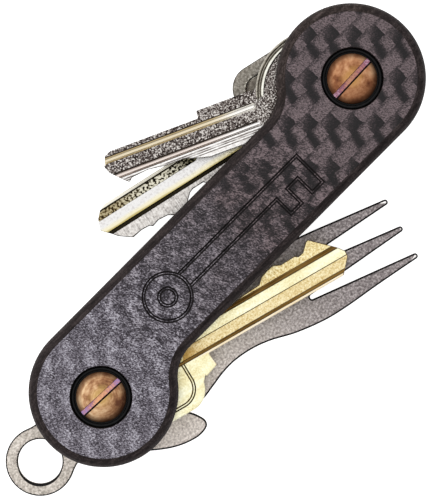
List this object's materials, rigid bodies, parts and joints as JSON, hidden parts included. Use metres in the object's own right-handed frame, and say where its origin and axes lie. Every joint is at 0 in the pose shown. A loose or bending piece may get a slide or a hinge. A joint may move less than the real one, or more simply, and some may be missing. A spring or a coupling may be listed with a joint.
{
  "type": "key organiser",
  "caption": "Pocket key organiser: two S-shaped woven-fibre plates on slotted posts, with keys, a fork with a bottle opener, and a ring tab that swing out.",
  "frame": {"origin": "on the back plate's outer face, midway between the two posts", "axes": "+X from the lower post (ring tab end) to the upper post, +Z out of the front plate, +Y completes the set"},
  "size_m": [0.1023, 0.0523, 0.0172],
  "materials": {
    "carbon_plate": "satin woven carbon fibre",
    "bronze_titanium": "heat-coloured titanium, bronze with purple slots",
    "black_washer": "glossy black",
    "copper_washer": "satin copper",
    "nickel": "cast grain with polished grooves",
    "key_brass": "fine satin",
    "grey_titanium": "stonewashed matt"
  },
  "bodies": {
    "frame": {"front_plate": "carbon_plate", "back_plate": "carbon_plate", "upper_screw": "bronze_titanium", "lower_screw": "bronze_titanium", "upper_barrel": "bronze_titanium", "lower_barrel": "bronze_titanium", "upper_head_washer": "black_washer", "lower_head_washer": "black_washer", "upper_spacer_1": "copper_washer", "upper_spacer_2": "copper_washer", "lower_spacer_1": "copper_washer", "lower_spacer_2": "copper_washer", "upper_washer_1": "copper_washer", "upper_washer_2": "copper_washer", "upper_washer_3": "copper_washer", "upper_washer_4": "copper_washer", "lower_washer_1": "copper_washer", "lower_washer_2": "copper_washer", "lower_washer_3": "copper_washer", "lower_washer_4": "copper_washer", "lower_washer_5": "copper_washer"},
    "front_nickel_key": {"front_nickel_key": "nickel"},
    "rear_nickel_key": {"rear_nickel_key": "nickel"},
    "brass_key": {"brass_key": "key_brass"},
    "fork_opener": {"fork_opener": "grey_titanium"},
    "ring_tab": {"ring_tab": "grey_titanium"}
  },
  "joints": [
    {"name": "front_nickel_key_swing", "type": "hinge", "parent": "frame", "child": "front_nickel_key", "pos_m": [0.034, 0, 0.0127], "axis": [0, 0, 1], "continuous": true},
    {"name": "rear_nickel_key_swing", "type": "hinge", "parent": "frame", "child": "rear_nickel_key", "pos_m": [0.034, 0, 0.0081], "axis": [0, 0, 1], "continuous": true},
    {"name": "brass_key_swing", "type": "hinge", "parent": "frame", "child": "brass_key", "pos_m": [-0.034, 0, 0.0104], "axis": [0, 0, 1], "continuous": true},
    {"name": "fork_opener_swing", "type": "hinge", "parent": "frame", "child": "fork_opener", "pos_m": [-0.034, 0, 0.006], "axis": [0, 0, 1], "continuous": true},
    {"name": "ring_tab_swing", "type": "hinge", "parent": "frame", "child": "ring_tab", "pos_m": [-0.034, 0, 0.0041], "axis": [0, 0, 1], "continuous": true}
  ]
}
